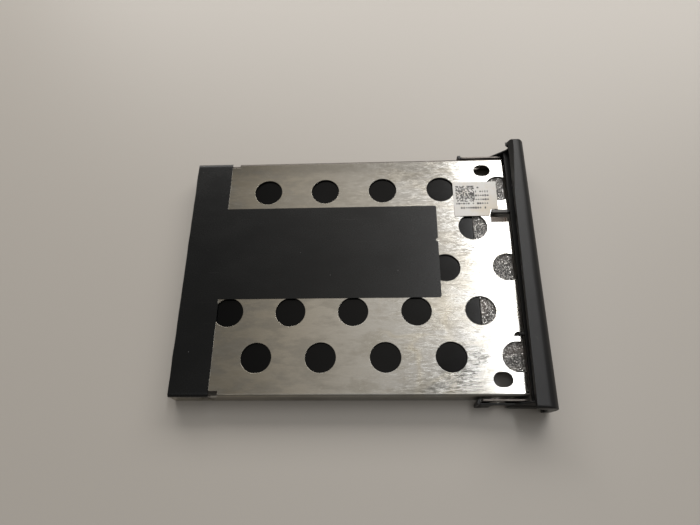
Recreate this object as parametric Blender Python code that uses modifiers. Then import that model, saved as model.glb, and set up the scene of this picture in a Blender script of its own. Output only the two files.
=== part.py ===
"""Laptop drive caddy: a folded steel tray that carries a 2.5-inch drive, with a moulded bezel clipped on.

The caddy lies as photographed, plate up and open side down. +X runs towards the bezel, +Y across the
tray and +Z up. The origin is the centre of the footprint, on the surface that the caddy lies on.
"""
import math

import bmesh
import bpy
from mathutils import Matrix

MM = 0.001

# Steel tray
TRAY_LENGTH = 92.9 * MM
TRAY_WIDTH = 71.4 * MM
TRAY_HEIGHT = 6.2 * MM
SHEET = 0.5 * MM
BEND_RADIUS = 0.15 * MM

# Round holes: staggered rows, odd rows half a pitch further from the open end
HOLE_DIAMETER = 8.25 * MM
HOLE_PITCH = 17.2 * MM
ROW_PITCH = 12.7 * MM
ROWS_EACH_SIDE = 2
ROWS_OFFSET = -0.2 * MM
FIRST_HOLE = 13.8 * MM

# Slots over the drive's lower mounting holes
SLOT_LENGTH = 4.95 * MM
SLOT_WIDTH = 3.95 * MM
SLOT_SPACING = 63.0 * MM
SLOT_FROM_FRONT = 6.2 * MM

# Side screw holes of the drive, and the dimple pressed round each
SCREW_HEIGHT = 2.3 * MM
SCREW_HOLE = 3.0 * MM
REAR_SCREW = 9.2 * MM
FRONT_SCREW_FROM_FRONT = 7.1 * MM
DIMPLE_DIAMETER = 4.4 * MM
DIMPLE_DEPTH = 0.25 * MM

# Bend reliefs near the open end
RELIEF_START = 10.3 * MM
RELIEF_LENGTH = 2.6 * MM
RELIEF_DEPTH = 1.4 * MM

# Hem: each flange turned outwards and up again beside the bezel
HEM_LENGTH = 11.7 * MM
HEM_GAP = 0.65 * MM
HEM_TOP_DROP = 0.55 * MM
HEM_RELIEF = 0.6 * MM

# Latch notch with its pressed-down tab, and the small locating notch
NOTCH_DEPTH = 5.7 * MM
NOTCH_TAPER = 1.2 * MM
NOTCH_WIDTH = 4.1 * MM
NOTCH_CENTRE = 15.95 * MM
TAB_WIDTH = 1.6 * MM
TAB_DROP = 0.6 * MM
SLIT = 0.15 * MM
PIN_NOTCH_RADIUS = 1.2 * MM
PIN_NOTCH_CENTRE = -20.1 * MM
PIN_NOTCH_DEPTH = 2.2 * MM

# Bezel bar
BEZEL_GAP = 0.23 * MM
BEZEL_OVERHANG = 3.8 * MM
BEZEL_HEIGHT = 11.2 * MM
BEZEL_TOP_DEPTH = 5.95 * MM
BEZEL_BELLY = 0.45 * MM
BEZEL_WALL = 1.5 * MM
LIP_TAPER = 1.05 * MM
TOP_RADIUS = 3.2 * MM
FOOT_RADIUS = 2.2 * MM
FOOT_RETURN = 0.5 * MM
CORNER_RADIUS = 1.0 * MM
END_RADIUS = 0.8 * MM
END_DRAFT = 0.7 * MM
BEZEL_SKEW = math.radians(0.25)

# Ledge and ribs inside the bezel
LEDGE_THICKNESS = 1.1 * MM
LEDGE_SETBACK = 0.3 * MM
LEDGE_BELOW_PLATE = 0.3 * MM
RIB_THICKNESS = 1.0 * MM
RIB_PITCH = 12.7 * MM
RIBS_EACH_SIDE = 2
RIB_SETBACK = 1.6 * MM
RIB_FOOT_SETBACK = 3.9 * MM

# Bezel arms, with a hook behind each hem
ARM_CLEARANCE = 0.25 * MM
ARM_THICKNESS = 0.55 * MM
ARM_TOP_DROP = 1.7 * MM
ARM_LIFT = 0.05 * MM
HOOK_CLEARANCE = 0.4 * MM
HOOK_LENGTH = 1.0 * MM
HOOK_GAP = 0.45 * MM
HOOK_TOP_DROP = 1.0 * MM
HOOK_PROUD = 0.05 * MM
PAD_PROUD = 0.25 * MM
PAD_BOTTOM = 0.3 * MM
PAD_HEIGHT = 3.1 * MM
PAD_START = 5.2 * MM
GUSSET_LENGTH = 3.5 * MM
GUSSET_RISE = 3.2 * MM
GUSSET_ARC = 1.8 * MM
GUSSET_SWEEP = 55.0
GUSSET_SETBACK = 1.3 * MM

# Recess in each arm that clears the head of the drive's screw, open below
RECESS_WIDTH = 4.3 * MM
RECESS_TOP = 3.8 * MM

# Latch bar and locating pin, which run from the ledge into the tray's notches
LATCH_WIDTH = 0.9 * MM
LATCH_LENGTH = 4.5 * MM
LATCH_PROUD = 0.4 * MM
PIN_WIDTH = 0.7 * MM
PIN_LENGTH = 0.85 * MM
EDGE_CLEARANCE = 0.3 * MM

# Films, foam and label
FILM_THICKNESS = 0.2 * MM
FILM_LIFT = 0.1 * MM
STRIP_WIDTH = 10.5 * MM
TONGUE_FROM_FRONT = 20.5 * MM
TONGUE_WIDTH = 28.6 * MM
TONGUE_CENTRE = 5.3 * MM
FILM_CORNER = 0.4 * MM
NICK_RADIUS = 0.6 * MM
NICK_FROM_CENTRE = 3.2 * MM
INNER_FILM_START = 2.0 * MM
INNER_FILM_FROM_FRONT = 10.3 * MM
INNER_FILM_WIDTH = 68.6 * MM
FOAM_THICKNESS = 0.6 * MM
FOAM_WIDTH = 58.4 * MM
FOAM_GAP = 0.2 * MM
FOAM_MARGIN = 0.8 * MM
LABEL_LENGTH = 12.7 * MM
LABEL_WIDTH = 11.5 * MM
LABEL_FROM_FRONT = 15.25 * MM
LABEL_FROM_NOTCH = 5.75 * MM
LABEL_THICKNESS = 0.1 * MM
LABEL_MARGIN = 0.15 * MM

# Mesh fineness
HOLE_SIDES = 32
SMALL_SIDES = 24
BEND_STEPS = 5
FILLET_STEPS = 8
CUT_MARGIN = 1.0 * MM
SMOOTH_BELOW = math.radians(35.0)

# Materials: name, colour, roughness and metallic value
STEEL = ("brushed steel", (0.36, 0.34, 0.31), 0.38, 1.0)
BLACK_PLASTIC = ("black moulded plastic", (0.035, 0.035, 0.036), 0.5, 0.0)
BLACK_FILM = ("black film", (0.014, 0.014, 0.015), 0.45, 0.0)
UNDER_FILM = ("black film under the plate", (0.008, 0.008, 0.008), 0.5, 0.0)
GREY_FOAM = ("grey foam", (0.12, 0.115, 0.1), 0.8, 0.0)
THIN_LABEL = ("thin white label", (0.72, 0.71, 0.68), 0.5, 0.0)

# Places that follow from the sizes above
PLATE_TOP = TRAY_HEIGHT
PLATE_UNDERSIDE = PLATE_TOP - SHEET
FLANGE_OUTER = TRAY_WIDTH / 2
HEM_START = TRAY_LENGTH - HEM_LENGTH
HEM_OUTER = FLANGE_OUTER + HEM_GAP + SHEET
ARM_INNER = HEM_OUTER + ARM_CLEARANCE
ARM_OUTER = ARM_INNER + ARM_THICKNESS
BEZEL_HALF = TRAY_WIDTH / 2 + BEZEL_OVERHANG
BEZEL_DEPTH = BEZEL_TOP_DEPTH + BEZEL_BELLY
BEZEL_REACH = ((BEZEL_DEPTH - CORNER_RADIUS) * math.cos(BEZEL_SKEW)
               + (BEZEL_HALF - CORNER_RADIUS) * math.sin(BEZEL_SKEW) + CORNER_RADIUS)
OVERALL_LENGTH = TRAY_LENGTH + BEZEL_GAP + BEZEL_REACH
TRAY_START = -OVERALL_LENGTH / 2
BEZEL_START = TRAY_START + TRAY_LENGTH + BEZEL_GAP
TRAY_FRONT_IN_BEZEL = -BEZEL_GAP
WALL_CORE = BEZEL_TOP_DEPTH - BEZEL_WALL / 2
TOP_CORE = BEZEL_HEIGHT - BEZEL_WALL / 2
TOP_CENTRE = (BEZEL_TOP_DEPTH - TOP_RADIUS, BEZEL_HEIGHT - TOP_RADIUS)
FOOT_CENTRE = (BEZEL_DEPTH - FOOT_RADIUS, FOOT_RADIUS)
FOOT_END = FOOT_CENTRE[0] - FOOT_RETURN
LEDGE_BOTTOM = PLATE_TOP - LEDGE_BELOW_PLATE
ARM_TOP = PLATE_TOP - ARM_TOP_DROP
HOOK_TOP = PLATE_TOP - HOOK_TOP_DROP
TONGUE_REACH = TRAY_LENGTH - TONGUE_FROM_FRONT
INNER_FILM_REACH = TRAY_LENGTH - INNER_FILM_FROM_FRONT
LABEL_START = TRAY_LENGTH - LABEL_FROM_FRONT
LABEL_CENTRE = NOTCH_CENTRE + LABEL_FROM_NOTCH


def clear_scene():
    """Remove every object of the open file."""
    for item in list(bpy.data.objects):
        bpy.data.objects.remove(item, do_unlink=True)


def new_collection(name):
    """Add a collection to the scene."""
    collection = bpy.data.collections.new(name)
    bpy.context.scene.collection.children.link(collection)
    return collection


def new_material(name, colour, roughness, metallic):
    """Make a plain Principled material."""
    material = bpy.data.materials.new(name)
    material.use_nodes = True
    shader = material.node_tree.nodes["Principled BSDF"]
    shader.inputs["Base Color"].default_value = (*colour, 1.0)
    shader.inputs["Roughness"].default_value = roughness
    shader.inputs["Metallic"].default_value = metallic
    return material


def link_object(name, mesh, collection, parent):
    """Put a mesh in a collection as a named object under its parent."""
    item = bpy.data.objects.new(name, mesh)
    item.parent = parent
    collection.objects.link(item)
    return item


def mesh_from(name, bm):
    """Turn a bmesh into a mesh with its faces pointing outwards."""
    bmesh.ops.recalc_face_normals(bm, faces=bm.faces)
    mesh = bpy.data.meshes.new(name)
    bm.to_mesh(mesh)
    bm.free()
    return mesh


def arc(centre, radius, start, end, steps):
    """Points of an arc about a 2D centre, from one angle in degrees to another, ends included."""
    points = []
    for step in range(steps + 1):
        angle = math.radians(start + (end - start) * step / steps)
        points.append((centre[0] + radius * math.cos(angle), centre[1] + radius * math.sin(angle)))
    return points


def place(axis, along, point):
    """Put a 2D outline point in space, for an outline that is drawn across the given axis."""
    u, v = point
    return {"x": (along, u, v), "y": (u, along, v), "z": (u, v, along)}[axis]


def add_prism(bm, outline, axis, start, end):
    """Extrude a closed outline along an axis, from one position to another."""
    vertices = [bm.verts.new(place(axis, start, point)) for point in outline]
    extruded = bmesh.ops.extrude_face_region(bm, geom=[bm.faces.new(vertices)])
    moved = [element for element in extruded["geom"] if isinstance(element, bmesh.types.BMVert)]
    bmesh.ops.translate(bm, vec=place(axis, end - start, (0.0, 0.0)), verts=moved)


def prism(name, outline, axis, start, end):
    """Make a mesh of one extruded outline."""
    bm = bmesh.new()
    add_prism(bm, outline, axis, start, end)
    return mesh_from(name, bm)


def rectangle(u_low, u_high, v_low, v_high):
    """Outline of a rectangle."""
    return [(u_low, v_low), (u_high, v_low), (u_high, v_high), (u_low, v_high)]


def rounded_rectangle(u_low, u_high, v_low, v_high, radius):
    """Outline of a rectangle with round corners."""
    return (arc((u_high - radius, v_low + radius), radius, -90, 0, BEND_STEPS)
            + arc((u_high - radius, v_high - radius), radius, 0, 90, BEND_STEPS)
            + arc((u_low + radius, v_high - radius), radius, 90, 180, BEND_STEPS)
            + arc((u_low + radius, v_low + radius), radius, 180, 270, BEND_STEPS))


def circle(centre, diameter, sides):
    """Outline of a circle."""
    return arc(centre, diameter / 2, 0, 360, sides)[:-1]


def racetrack(centre, length, width):
    """Outline of a slot with round ends, long in the first direction."""
    offset = (length - width) / 2
    return (arc((centre[0] + offset, centre[1]), width / 2, -90, 90, SMALL_SIDES // 2)
            + arc((centre[0] - offset, centre[1]), width / 2, 90, 270, SMALL_SIDES // 2))


class Builder:
    """Collections, the root empty, and the Boolean helpers that work in them."""

    def __init__(self):
        self.parts = new_collection("drive_caddy")
        self.helpers = new_collection("helpers")
        self.root = bpy.data.objects.new("caddy_root", None)
        self.parts.objects.link(self.root)

    def part(self, name, mesh, material, location=(0.0, 0.0, 0.0), skew=0.0):
        """Add a real piece of the caddy."""
        item = link_object(name, mesh, self.parts, self.root)
        item.location = location
        item.rotation_euler.z = skew
        mesh.materials.append(material)
        return item

    def combine(self, target, name, mesh, operation, mirror=False):
        """Cut, join or intersect a piece with a helper solid drawn in the piece's own frame."""
        helper = link_object(name, mesh, self.helpers, target)
        helper.hide_render = True
        helper.display_type = "WIRE"
        if mirror:
            twin = helper.modifiers.new("other_side", "MIRROR")
            twin.use_axis = (False, True, False)
            twin.use_mirror_merge = False
        boolean = target.modifiers.new(name, "BOOLEAN")
        boolean.operation = operation
        boolean.solver = "EXACT"
        boolean.object = helper
        return helper


def shade(item):
    """Shade curved faces smooth and keep the real edges sharp."""
    item.data.shade_smooth()
    item.data.set_sharp_from_angle(angle=SMOOTH_BELOW)


def tray_sheet_mesh():
    """Middle surface of the plate and its two flanges, folded down along the sides."""
    middle = FLANGE_OUTER - SHEET / 2
    radius = BEND_RADIUS + SHEET / 2
    top = PLATE_TOP - SHEET / 2
    right_bend = arc((middle - radius, top - radius), radius, 0, 90, BEND_STEPS)
    left_bend = arc((radius - middle, top - radius), radius, 90, 180, BEND_STEPS)
    section = [(middle, 0.0), *right_bend, *left_bend, (-middle, 0.0)]
    bm = bmesh.new()
    vertices = [bm.verts.new((0.0, y, z)) for y, z in section]
    edges = [bm.edges.new(pair) for pair in zip(vertices, vertices[1:])]
    extruded = bmesh.ops.extrude_edge_only(bm, edges=edges)
    moved = [element for element in extruded["geom"] if isinstance(element, bmesh.types.BMVert)]
    bmesh.ops.translate(bm, vec=(TRAY_LENGTH, 0.0, 0.0), verts=moved)
    return mesh_from("tray", bm)


def hem_mesh():
    """One flange's hem: round the bottom bend and up beside the flange, joined to the flange above it."""
    inner = HEM_GAP / 2
    outer = inner + SHEET
    centre = (FLANGE_OUTER + inner, outer)
    top = PLATE_TOP - HEM_TOP_DROP
    outline = (arc(centre, outer, 180, 360, 2 * BEND_STEPS)
               + [(centre[0] + outer, top), (centre[0] + inner, top)]
               + arc(centre, inner, 0, -180, 2 * BEND_STEPS))
    return prism("hem", outline, "x", HEM_START, TRAY_LENGTH)


def hem_room_mesh():
    """Space cut from a plain flange where the hem's bend takes over, with a relief behind it."""
    inner = FLANGE_OUTER - SHEET - CUT_MARGIN
    outline = rectangle(inner, FLANGE_OUTER + CUT_MARGIN, -CUT_MARGIN, HEM_GAP / 2 + SHEET)
    return prism("hem_room", outline, "x", HEM_START - HEM_RELIEF, TRAY_LENGTH + CUT_MARGIN)


def hole_positions():
    """Centres of the round holes in the staggered rows."""
    for row in range(-ROWS_EACH_SIDE, ROWS_EACH_SIDE + 1):
        x = FIRST_HOLE + (HOLE_PITCH / 2 if row % 2 == 0 else 0.0)
        while x < TRAY_LENGTH:
            yield x, row * ROW_PITCH + ROWS_OFFSET
            x += HOLE_PITCH


def plate_holes_mesh():
    """Cutters of the round holes and the two slots."""
    bm = bmesh.new()
    low = PLATE_UNDERSIDE - CUT_MARGIN
    high = PLATE_TOP + CUT_MARGIN
    for centre in hole_positions():
        add_prism(bm, circle(centre, HOLE_DIAMETER, HOLE_SIDES), "z", low, high)
    for side in (-1, 1):
        centre = (TRAY_LENGTH - SLOT_FROM_FRONT, side * SLOT_SPACING / 2)
        add_prism(bm, racetrack(centre, SLOT_LENGTH, SLOT_WIDTH), "z", low, high)
    return mesh_from("plate_holes", bm)


def notch_outline(margin):
    """Latch notch in the plate's front edge, with its slanted inner end, grown by a margin."""
    far = NOTCH_CENTRE + NOTCH_WIDTH / 2 + margin
    near = NOTCH_CENTRE - NOTCH_WIDTH / 2 - margin
    inner = TRAY_LENGTH - NOTCH_DEPTH - margin
    front = TRAY_LENGTH + CUT_MARGIN
    return [(front, near), (front, far), (inner + NOTCH_TAPER, far), (inner, near)]


def pin_notch_outline(margin):
    """Locating notch: a round-ended bite out of the plate's front edge, grown by a margin."""
    radius = PIN_NOTCH_RADIUS + margin
    centre = (TRAY_LENGTH - PIN_NOTCH_DEPTH + PIN_NOTCH_RADIUS, PIN_NOTCH_CENTRE)
    front = TRAY_LENGTH + CUT_MARGIN
    return [(front, centre[1] + radius), *arc(centre, radius, 90, 180, FILLET_STEPS),
            (centre[0] - radius, centre[1] - margin), (front, centre[1] - margin)]


def notches_mesh():
    """Cutters of both notches."""
    bm = bmesh.new()
    for outline in (notch_outline(0.0), pin_notch_outline(0.0)):
        add_prism(bm, outline, "z", PLATE_UNDERSIDE - CUT_MARGIN, PLATE_TOP + CUT_MARGIN)
    return mesh_from("notches", bm)


def tab_mesh():
    """Tab of the plate's own sheet, pressed down along the near side of the latch notch."""
    near = NOTCH_CENTRE - NOTCH_WIDTH / 2 + SLIT
    root = TRAY_LENGTH - NOTCH_DEPTH - SHEET
    bend = root + SHEET + NOTCH_TAPER / 2
    outline = [(root, PLATE_TOP), (bend, PLATE_TOP),
               (TRAY_LENGTH, PLATE_TOP - TAB_DROP), (TRAY_LENGTH, PLATE_UNDERSIDE - TAB_DROP),
               (bend, PLATE_UNDERSIDE), (root, PLATE_UNDERSIDE)]
    return prism("latch_tab", outline, "y", near, near + TAB_WIDTH)


def reliefs_mesh():
    """Bend relief at one fold edge, near the open end."""
    outline = rectangle(RELIEF_START, RELIEF_START + RELIEF_LENGTH,
                        FLANGE_OUTER - RELIEF_DEPTH, FLANGE_OUTER + CUT_MARGIN)
    return prism("bend_reliefs", outline, "z", PLATE_TOP - RELIEF_DEPTH, PLATE_TOP + CUT_MARGIN)


def dimple_mesh(name, outward):
    """Shallow cone in a flange round the rear screw hole, on the flange's outer or inner face."""
    bm = bmesh.new()
    radius = DIMPLE_DIAMETER / 2
    bmesh.ops.create_cone(bm, cap_ends=True, segments=SMALL_SIDES, radius1=radius,
                          radius2=radius - DIMPLE_DEPTH, depth=2 * DIMPLE_DEPTH)
    bmesh.ops.rotate(bm, matrix=turn_to_flange(), verts=bm.verts)
    face = FLANGE_OUTER if outward else FLANGE_OUTER - SHEET
    bmesh.ops.translate(bm, vec=(REAR_SCREW, face, SCREW_HEIGHT), verts=bm.verts)
    return mesh_from(name, bm)


def turn_to_flange():
    """Turn that lays a cone's axis across the flange, its narrow end towards the drive."""
    return Matrix.Rotation(math.radians(90), 3, "X")


def screw_holes_mesh():
    """Cutters of the screw holes through one flange and its hem."""
    bm = bmesh.new()
    for x in (REAR_SCREW, TRAY_LENGTH - FRONT_SCREW_FROM_FRONT):
        add_prism(bm, circle((x, SCREW_HEIGHT), SCREW_HOLE, SMALL_SIDES), "y",
                  FLANGE_OUTER - SHEET - CUT_MARGIN, HEM_OUTER + CUT_MARGIN)
    return mesh_from("side_screw_holes", bm)


def build_tray(builder, material):
    """Fold the tray, hem its flanges, and punch it."""
    tray = builder.part("tray", tray_sheet_mesh(), material, (TRAY_START, 0.0, 0.0))
    solidify = tray.modifiers.new("sheet", "SOLIDIFY")
    solidify.thickness = SHEET
    solidify.offset = 0.0
    solidify.use_even_offset = True
    builder.combine(tray, "hem_room", hem_room_mesh(), "DIFFERENCE", mirror=True)
    builder.combine(tray, "hem", hem_mesh(), "UNION", mirror=True)
    builder.combine(tray, "plate_holes", plate_holes_mesh(), "DIFFERENCE")
    builder.combine(tray, "notches", notches_mesh(), "DIFFERENCE")
    builder.combine(tray, "latch_tab", tab_mesh(), "UNION")
    builder.combine(tray, "bend_reliefs", reliefs_mesh(), "DIFFERENCE", mirror=True)
    builder.combine(tray, "dimple_boss", dimple_mesh("dimple_boss", outward=False), "UNION", mirror=True)
    builder.combine(tray, "dimple", dimple_mesh("dimple", outward=True), "DIFFERENCE", mirror=True)
    builder.combine(tray, "side_screw_holes", screw_holes_mesh(), "DIFFERENCE", mirror=True)
    return tray


def outer_profile():
    """Outer line of the bezel's section, from the top's inner edge round the front to the foot."""
    return ([(0.0, BEZEL_HEIGHT)] + arc(TOP_CENTRE, TOP_RADIUS, 90, 0, FILLET_STEPS)
            + arc(FOOT_CENTRE, FOOT_RADIUS, 0, -90, FILLET_STEPS))


def inner_profile():
    """Inner line of the bezel's section, from the foot back up to the top's inner edge."""
    return ([(FOOT_END, 0.0), (FOOT_END, BEZEL_WALL)]
            + arc(FOOT_CENTRE, FOOT_RADIUS - BEZEL_WALL, -90, 0, BEND_STEPS)
            + arc(TOP_CENTRE, TOP_RADIUS - BEZEL_WALL, 0, 90, BEND_STEPS)
            + [(0.0, BEZEL_HEIGHT - BEZEL_WALL)])


def core_profile():
    """Line inside the bezel's wall where ribs, arms and end walls end, from the foot up to the top."""
    return (arc(FOOT_CENTRE, FOOT_RADIUS - BEZEL_WALL / 2, -90, 0, BEND_STEPS)
            + arc(TOP_CENTRE, TOP_RADIUS - BEZEL_WALL / 2, 0, 90, BEND_STEPS))


def end_wall_mesh():
    """End wall of the bezel, cut off slantwise on its inner side."""
    outline = core_profile() + [(EDGE_CLEARANCE, TOP_CORE), (EDGE_CLEARANCE, BEZEL_HEIGHT - 1.2 * BEZEL_WALL),
                                (BEZEL_TOP_DEPTH - 1.2 * BEZEL_WALL, BEZEL_HEIGHT / 2),
                                (FOOT_CENTRE[0], 1.2 * BEZEL_WALL)]
    return prism("end_wall", outline, "y", BEZEL_HALF - BEZEL_WALL, BEZEL_HALF + CUT_MARGIN / 2)


def lip_cutter_mesh():
    """Waste behind the lip's inner edge, which runs in a shallow curve and is deeper at its near end."""
    half = BEZEL_HALF + CUT_MARGIN
    outline = [(-CUT_MARGIN, half), (-CUT_MARGIN, -half)]
    for step in range(2 * FILLET_STEPS + 1):
        share = step / (2 * FILLET_STEPS)
        outline.append((LIP_TAPER * (1.0 - (1.0 - share) ** 2), half * (2.0 * share - 1.0)))
    low = BEZEL_HEIGHT - BEZEL_WALL - CUT_MARGIN / 2
    return prism("lip_cutter", outline, "z", low, BEZEL_HEIGHT + CUT_MARGIN)


def corner_cutter_mesh():
    """Waste outside the round corner at the end of the bezel's front, seen in plan."""
    centre = (BEZEL_DEPTH - CORNER_RADIUS, BEZEL_HALF - CORNER_RADIUS)
    front = BEZEL_DEPTH + CUT_MARGIN
    side = BEZEL_HALF + 2 * CUT_MARGIN
    outline = (arc(centre, CORNER_RADIUS, 0, 90, BEND_STEPS)
               + [(centre[0], side), (front, side), (front, centre[1])])
    return prism("corner_cutter", outline, "z", -CUT_MARGIN, BEZEL_HEIGHT + CUT_MARGIN)


def end_cutter_mesh():
    """Waste outside the bezel's end: its round top edge and the draft of its face."""
    centre = (BEZEL_HALF - END_RADIUS, BEZEL_HEIGHT - END_RADIUS)
    side = BEZEL_HALF + 2 * CUT_MARGIN
    top = BEZEL_HEIGHT + CUT_MARGIN
    outline = (arc(centre, END_RADIUS, 0, 90, BEND_STEPS)
               + [(centre[0], top), (side, top), (side, -CUT_MARGIN), (BEZEL_HALF - END_DRAFT, -CUT_MARGIN)])
    return prism("end_cutter", outline, "x", -2 * CUT_MARGIN, BEZEL_DEPTH + CUT_MARGIN)


def ledge_mesh():
    """Ledge along the inside of the bezel, level with the tray's plate."""
    outline = rectangle(LEDGE_SETBACK, WALL_CORE, LEDGE_BOTTOM, LEDGE_BOTTOM + LEDGE_THICKNESS)
    half = (ARM_INNER + ARM_OUTER) / 2
    return prism("ledge", outline, "y", -half, half)


def ribs_mesh():
    """Stiffening ribs between the bezel's top, ledge and front wall."""
    bm = bmesh.new()
    shelf = LEDGE_BOTTOM + LEDGE_THICKNESS / 2
    outline = ([(RIB_SETBACK, shelf), (RIB_FOOT_SETBACK, shelf), (RIB_FOOT_SETBACK, BEZEL_WALL / 2)]
               + core_profile() + [(RIB_SETBACK, TOP_CORE)])
    for rib in range(-RIBS_EACH_SIDE, RIBS_EACH_SIDE + 1):
        middle = rib * RIB_PITCH
        add_prism(bm, outline, "y", middle - RIB_THICKNESS / 2, middle + RIB_THICKNESS / 2)
    return mesh_from("ribs", bm)


def arm_mesh():
    """Arm outside the hem, with a gusset that rises to the bezel's top."""
    rear = TRAY_FRONT_IN_BEZEL - HEM_LENGTH - HOOK_CLEARANCE - HOOK_LENGTH / 2
    arc_drop = GUSSET_ARC * math.sin(math.radians(GUSSET_SWEEP))
    arc_centre = (GUSSET_SETBACK - GUSSET_ARC, ARM_TOP + GUSSET_RISE + arc_drop)
    outline = ([(rear, ARM_LIFT), (LEDGE_SETBACK, ARM_LIFT), (FOOT_CENTRE[0] - FOOT_RETURN / 2, BEZEL_WALL / 2)]
               + core_profile() + [(GUSSET_SETBACK, TOP_CORE)]
               + arc(arc_centre, GUSSET_ARC, 0, -GUSSET_SWEEP, BEND_STEPS)
               + [(-GUSSET_LENGTH, ARM_TOP), (rear, ARM_TOP)])
    return prism("arm", outline, "y", ARM_INNER, ARM_OUTER)


def hook_mesh():
    """Hook at the arm's rear end, which catches behind the hem and stands above the arm."""
    front = TRAY_FRONT_IN_BEZEL - HEM_LENGTH - HOOK_CLEARANCE
    outer = ARM_OUTER + HOOK_PROUD
    outline = [(front - HOOK_LENGTH, outer), (front - HOOK_LENGTH, ARM_INNER - HOOK_PROUD),
               (front - HOOK_LENGTH / 2, FLANGE_OUTER + HOOK_GAP), (front, FLANGE_OUTER + HOOK_GAP),
               (front, outer)]
    return prism("arm_hook", outline, "z", 0.0, HOOK_TOP)


def pad_mesh():
    """Thicker part of the arm's outer face beside the bezel, with a round rear end."""
    radius = PAD_HEIGHT / 2
    middle = PAD_BOTTOM + radius
    outline = ([(WALL_CORE, PAD_BOTTOM), (WALL_CORE, PAD_BOTTOM + PAD_HEIGHT)]
               + arc((radius - PAD_START, middle), radius, 90, 270, SMALL_SIDES // 2))
    return prism("arm_pad", outline, "y", ARM_OUTER - ARM_THICKNESS / 2, ARM_OUTER + PAD_PROUD)


def recess_mesh():
    """Cutter of the recess in the arm, round above and open below."""
    radius = RECESS_WIDTH / 2
    middle = TRAY_FRONT_IN_BEZEL - FRONT_SCREW_FROM_FRONT
    outline = (arc((middle, RECESS_TOP - radius), radius, 0, 180, SMALL_SIDES // 2)
               + [(middle - radius, -CUT_MARGIN), (middle + radius, -CUT_MARGIN)])
    return prism("arm_recess", outline, "y", ARM_INNER - ARM_CLEARANCE / 2, ARM_OUTER + CUT_MARGIN)


def latches_mesh():
    """Latch bar and locating pin, which run from the ledge into the plate's notches."""
    bm = bmesh.new()
    root = LEDGE_SETBACK + LEDGE_THICKNESS
    latch_far = NOTCH_CENTRE + NOTCH_WIDTH / 2 - EDGE_CLEARANCE
    pin_far = PIN_NOTCH_CENTRE + PIN_NOTCH_RADIUS - EDGE_CLEARANCE
    for reach, far, width in ((LATCH_LENGTH, latch_far, LATCH_WIDTH), (PIN_LENGTH, pin_far, PIN_WIDTH)):
        outline = rectangle(TRAY_FRONT_IN_BEZEL - reach, root, far - width, far)
        add_prism(bm, outline, "z", PLATE_UNDERSIDE, PLATE_TOP + LATCH_PROUD)
    return mesh_from("latches", bm)


def build_bezel(builder, material):
    """Mould the bezel: bar, end walls, ledge, ribs, arms, hooks and latches."""
    length = BEZEL_HALF + CUT_MARGIN
    bar = prism("bezel", outer_profile() + inner_profile(), "y", -length, length)
    bezel = builder.part("bezel", bar, material, (BEZEL_START, 0.0, 0.0), -BEZEL_SKEW)
    builder.combine(bezel, "end_wall", end_wall_mesh(), "UNION", mirror=True)
    builder.combine(bezel, "corner_cutter", corner_cutter_mesh(), "DIFFERENCE", mirror=True)
    builder.combine(bezel, "end_cutter", end_cutter_mesh(), "DIFFERENCE", mirror=True)
    builder.combine(bezel, "lip_cutter", lip_cutter_mesh(), "DIFFERENCE")
    builder.combine(bezel, "ribs", ribs_mesh(), "UNION")
    builder.combine(bezel, "ledge", ledge_mesh(), "UNION")
    builder.combine(bezel, "arm", arm_mesh(), "UNION", mirror=True)
    builder.combine(bezel, "arm_hook", hook_mesh(), "UNION", mirror=True)
    builder.combine(bezel, "arm_pad", pad_mesh(), "UNION", mirror=True)
    builder.combine(bezel, "latches", latches_mesh(), "UNION")
    builder.combine(bezel, "arm_recess", recess_mesh(), "DIFFERENCE", mirror=True)
    return bezel


def build_outer_film(builder, material):
    """Black film on the plate: a strip across the open end with a tongue along the plate."""
    half = FLANGE_OUTER - BEND_RADIUS - SHEET
    far = TONGUE_CENTRE + TONGUE_WIDTH / 2
    near = TONGUE_CENTRE - TONGUE_WIDTH / 2
    nick = (TONGUE_REACH, TONGUE_CENTRE + NICK_FROM_CENTRE)
    outline = ([(0.0, -half), (STRIP_WIDTH, -half), (STRIP_WIDTH, near)]
               + arc((TONGUE_REACH - FILM_CORNER, near + FILM_CORNER), FILM_CORNER, -90, 0, BEND_STEPS)
               + arc(nick, NICK_RADIUS, 270, 90, FILLET_STEPS)
               + arc((TONGUE_REACH - FILM_CORNER, far - FILM_CORNER), FILM_CORNER, 0, 90, BEND_STEPS)
               + [(STRIP_WIDTH, far), (STRIP_WIDTH, half), (0.0, half)])
    low = PLATE_TOP + FILM_LIFT
    mesh = prism("outer_film", outline, "z", low, low + FILM_THICKNESS)
    return builder.part("outer_film", mesh, material, (TRAY_START, 0.0, 0.0))


def build_inner_film(builder, material):
    """Black film under the plate, behind the round holes."""
    outline = rounded_rectangle(INNER_FILM_START, INNER_FILM_REACH, -INNER_FILM_WIDTH / 2,
                                INNER_FILM_WIDTH / 2, FILM_CORNER)
    high = PLATE_UNDERSIDE - FILM_LIFT
    mesh = prism("inner_film", outline, "z", high - FILM_THICKNESS, high)
    return builder.part("inner_film", mesh, material, (TRAY_START, 0.0, 0.0))


def build_foam(builder, material):
    """Foam strip under the plate's front edge, cut away round the two notches."""
    half = FOAM_WIDTH / 2
    outline = rectangle(INNER_FILM_REACH + FOAM_GAP, TRAY_LENGTH - FOAM_GAP, -half, half)
    high = PLATE_UNDERSIDE - FILM_LIFT
    mesh = prism("foam_strip", outline, "z", high - FOAM_THICKNESS, high)
    foam = builder.part("foam_strip", mesh, material, (TRAY_START, 0.0, 0.0))
    bm = bmesh.new()
    for outline in (notch_outline(FOAM_MARGIN), pin_notch_outline(FOAM_MARGIN)):
        add_prism(bm, outline, "z", high - FOAM_THICKNESS - CUT_MARGIN, high + CUT_MARGIN)
    builder.combine(foam, "foam_cutouts", mesh_from("foam_cutouts", bm), "DIFFERENCE")
    return foam


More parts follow.
